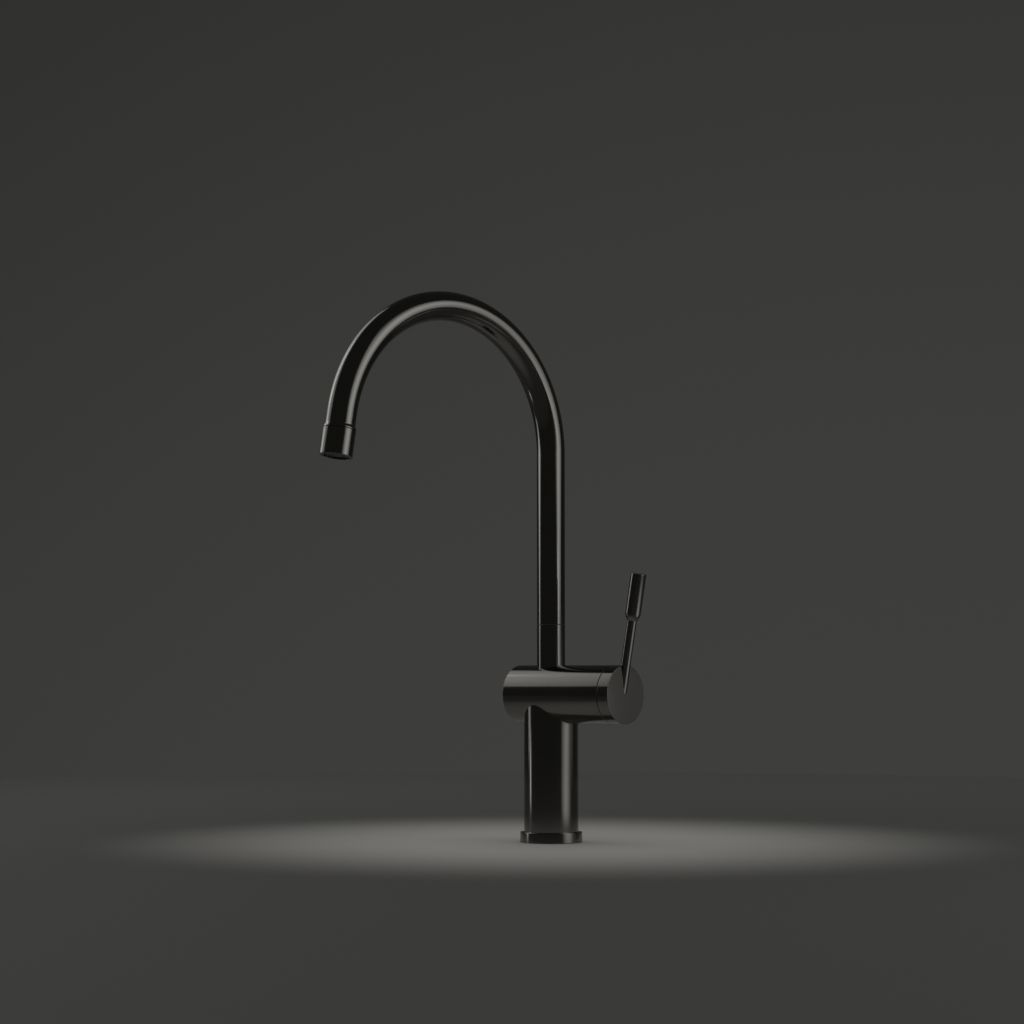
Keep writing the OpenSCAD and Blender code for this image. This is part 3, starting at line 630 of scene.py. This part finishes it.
def make_aerator():
    """The aerator's screwed housing, with a lip at its outlet."""
    start = FLARE + AERATOR_SEAM
    end = start + AERATOR_LENGTH
    shoulder_r = AERATOR_RADIUS - AERATOR_WALL
    lip_r = shoulder_r - AERATOR_LIP_WIDTH
    outline = [
        (shoulder_r, start, FINE_EDGE), (AERATOR_RADIUS, start, SMALL_EDGE),
        (AERATOR_RADIUS, end, EDGE), (lip_r, end, SMALL_EDGE),
        (lip_r, end - AERATOR_LIP, FINE_EDGE), (shoulder_r, end - AERATOR_LIP, SHARP),
    ]
    piece = lay(turned("aerator_shell", outline, hollow=True), ON_OUTLET)
    finish_piece(piece, gunmetal_up, "spout", "dark_metal", "aerator_housing")


def from_camera(azimuth, distance, height):
    """A place or direction round the tap's axis, by its azimuth in degrees: 0 is towards the
    camera, and 90 is to its right."""
    turn = math.radians(azimuth)
    right, front = distance * math.sin(turn), distance * math.cos(turn)
    cosine, sine = math.cos(CAMERA_AZIMUTH), math.sin(CAMERA_AZIMUTH)
    return (right * cosine + front * sine, right * sine - front * cosine, height)


def make_floor():
    """A round sheet under the tap, with a painted pool of light in its middle. Farther out it takes
    the room's tone, with painted light that makes it a little lighter far behind the tap."""
    deselect()
    bpy.ops.mesh.primitive_circle_add(
        vertices=FLOOR_SIDES, radius=FLOOR_RADIUS, fill_type="NGON",
        location=(0, 0, -FLOOR_DROP),
    )
    floor = bpy.context.active_object
    floor.name = "studio_floor"
    bpy.ops.object.transform_apply(location=True)
    material, tree, shader = new_material("painted_light_floor")
    shader.inputs["Roughness"].default_value = 0.8
    shader.inputs["Specular IOR Level"].default_value = 0.1
    place = object_place(tree)
    # Painted pool of light: the floor is pale near the tap and fades to the room's tone further
    # out.
    from_tap = vector_step(tree, "DISTANCE", place, (0, 0, 0))
    pool_fade = remap(tree, from_tap, start=POOL_FULL_TO, end=POOL_END, smooth=True)
    # Painted light: the room's tone gets a little lighter far behind the tap.
    from_front = vector_step(tree, "DISTANCE", place, from_camera(0, FLOOR_RADIUS, 0))
    depth = remap(tree, from_front, start=FAR_GLOW_FROM, end=FAR_GLOW_TO, smooth=True)
    far = mix_colours(tree, depth, FLOOR_UNLIT_NEAR, FLOOR_LIT_FAR)
    tree.links.new(mix_colours(tree, pool_fade, FLOOR_LIGHT_POOL, far), shader.inputs["Base Color"])
    floor.data.materials.append(material)


def glow(name, strength, edge, soft, grid):
    """A softbox's material. It dims from its middle to an edge level, and adds its glow to what
    lies behind it. A grid keeps its light within an angle in degrees from straight ahead."""
    material, tree, shader = new_material(name)
    nodes, links = tree.nodes, tree.links
    nodes.remove(shader)
    split = nodes.new("ShaderNodeSeparateXYZ")
    links.new(nodes.new("ShaderNodeTexCoord").outputs["UV"], split.inputs[0])
    fades = []
    # Each way across, the distance from the nearer edge goes up to a half in the middle
    for axis, softness in zip(("X", "Y"), soft):
        inward = nodes.new("ShaderNodeMath")
        inward.operation = "PINGPONG"
        inward.inputs[1].default_value = 0.5
        links.new(split.outputs[axis], inward.inputs[0])
        fades.append(remap(tree, inward.outputs[0], end=softness, low=edge, smooth=True))
    level = strength
    if grid:
        slant = nodes.new("ShaderNodeLayerWeight")
        slant.inputs["Blend"].default_value = 0.5
        level = remap(
            tree, slant.outputs["Facing"], start=1 - math.cos(math.radians(grid)),
            end=1 - math.cos(math.radians(grid + GRID_FADE)), low=strength, high=0, smooth=True,
        )
    light = nodes.new("ShaderNodeEmission")
    light.inputs["Color"].default_value = (*CARD_TINT, 1)
    links.new(multiply(tree, multiply(tree, *fades), level), light.inputs["Strength"])
    clear = nodes.new("ShaderNodeBsdfTransparent")
    veil = nodes.new("ShaderNodeAddShader")
    links.new(light.outputs[0], veil.inputs[0])
    links.new(clear.outputs[0], veil.inputs[1])
    one_sided = nodes.new("ShaderNodeMixShader")
    side = nodes.new("ShaderNodeNewGeometry")
    links.new(side.outputs["Backfacing"], one_sided.inputs["Fac"])
    links.new(veil.outputs[0], one_sided.inputs[1])
    links.new(clear.outputs[0], one_sided.inputs[2])
    links.new(one_sided.outputs[0], nodes["Material Output"].inputs["Surface"])
    return material


def make_card(name, azimuth, distance, height, size, strength, face, tilt, roll, edge, soft,
              on_floor=True, grid=None):
    """A softbox: a glowing card that faces the tap, turned from there by face, tilt and roll."""
    deselect()
    bpy.ops.mesh.primitive_plane_add(size=1)
    card = bpy.context.active_object
    card.name = name
    place = from_camera(azimuth, distance, height)
    lean = math.radians(tilt)
    look = Vector(from_camera(azimuth + face, -math.cos(lean), -math.sin(lean)))
    card.matrix_world = (
        Matrix.Translation(place)
        @ look.to_track_quat("Z", "Y").to_matrix().to_4x4()
        @ Matrix.Rotation(math.radians(roll), 4, "Z")
        @ Matrix.Diagonal((*size, 1, 1))
    )
    card.data.materials.append(glow(name, strength, edge, soft, grid))
    card.visible_camera = False
    card.visible_shadow = False
    card.visible_diffuse = on_floor


def make_lights():
    """Three softboxes to the left and a large far one to the right give the long highlights. Four
    low cards show in the cap's face, the lever, the column and the ring."""
    make_card(
        "left_strip_box", azimuth=-108.72, distance=1.035, height=0.383, size=(0.238, 0.699),
        strength=0.818, face=9.52, tilt=6.9, roll=-11.2, edge=0.92, soft=(0.45, 0.48),
        on_floor=False,
    )
    make_card(
        "left_leaning_box", azimuth=-118.96, distance=0.765, height=0.653, size=(0.995, 0.716),
        strength=0.855, face=13.78, tilt=31.2, roll=39.9, edge=0.62, soft=(0.40, 0.28),
    )
    make_card(
        "left_rear_box", azimuth=-119.51, distance=1.505, height=1.151, size=(0.336, 0.838),
        strength=2.0, face=58.78, tilt=31.5, roll=26.7, edge=0.60, soft=(0.33, 0.30),
    )
    make_card(
        "right_softbox", azimuth=64.56, distance=1.111, height=0.569, size=(1.17, 1.081),
        strength=1.279, face=12.76, tilt=41.5, roll=29.2, edge=0.34, soft=(0.5, 0.27),
    )
    make_card(
        "right_lower_box", azimuth=57.95, distance=1.132, height=0.209, size=(0.826, 0.194),
        strength=0.957, face=61.5, tilt=25.9, roll=4.7, edge=0.06, soft=(0.41, 0.2),
        on_floor=False,
    )
    make_card(
        "cap_card", azimuth=95.95, distance=1.203, height=0.093, size=(0.3, 0.19),
        strength=0.165, face=-8.6, tilt=9.6, roll=-8.5, edge=0.6, soft=(0.24, 0.40),
        on_floor=False,
    )
    make_card(
        "right_low_card", azimuth=62.65, distance=0.303, height=0.058, size=(0.252, 0.189),
        strength=0.735, face=12.5, tilt=-5.4, roll=5.0, edge=0.22, soft=(0.49, 0.22),
        on_floor=False, grid=30,
    )
    make_card(
        "left_low_card", azimuth=-97.26, distance=0.506, height=0.03, size=(0.088, 0.093),
        strength=1.56, face=25.7, tilt=9.9, roll=-3.5, edge=0.43, soft=(0.44, 0.38),
        on_floor=False,
    )


def make_world():
    """A dark grey room, a little lighter behind the tap. Matt surfaces also get a plain soft fill
    from it."""
    world = bpy.data.worlds.new("room")
    bpy.context.scene.world = world
    world.use_nodes = True
    tree = world.node_tree
    nodes, links = tree.nodes, tree.links
    background = nodes["Background"]
    background.inputs["Strength"].default_value = 1
    place = nodes.new("ShaderNodeTexCoord").outputs["Generated"]
    toward = vector_step(tree, "DOT_PRODUCT", place, ROOM_GLOW)
    spread = remap(tree, toward, start=0.72, end=0.98, smooth=True)
    links.new(mix_colours(tree, spread, ROOM_DARK, ROOM_LIGHT), background.inputs["Color"])
    fill = nodes.new("ShaderNodeBackground")
    fill.inputs["Color"].default_value = (*FILL_TINT, 1)
    fill.inputs["Strength"].default_value = FILL_STRENGTH
    path = nodes.new("ShaderNodeLightPath")
    mix = nodes.new("ShaderNodeMixShader")
    links.new(path.outputs["Is Diffuse Ray"], mix.inputs["Fac"])
    links.new(background.outputs[0], mix.inputs[1])
    links.new(fill.outputs[0], mix.inputs[2])
    links.new(mix.outputs[0], nodes["World Output"].inputs["Surface"])


def make_camera():
    data = bpy.data.cameras.new("camera")
    camera = bpy.data.objects.new("camera", data)
    bpy.context.scene.collection.objects.link(camera)
    data.lens = CAMERA_LENS
    data.sensor_width = CAMERA_SENSOR
    data.sensor_fit = "HORIZONTAL"
    data.clip_start = CAMERA_NEAREST
    camera.location = CAMERA_PLACE
    camera.rotation_euler = (math.pi / 2 + CAMERA_PITCH, 0, CAMERA_AZIMUTH)
    bpy.context.scene.camera = camera
    bpy.context.scene.view_settings.view_transform = "Standard"


make_camera()
dress_nodes()
make_base_ring()
make_column()
make_barrel()
make_end_plug()
make_collar()
make_cap()
make_rod()
make_grip()
make_spout()
make_nozzle()
make_aerator()
make_floor()
make_world()
make_lights()
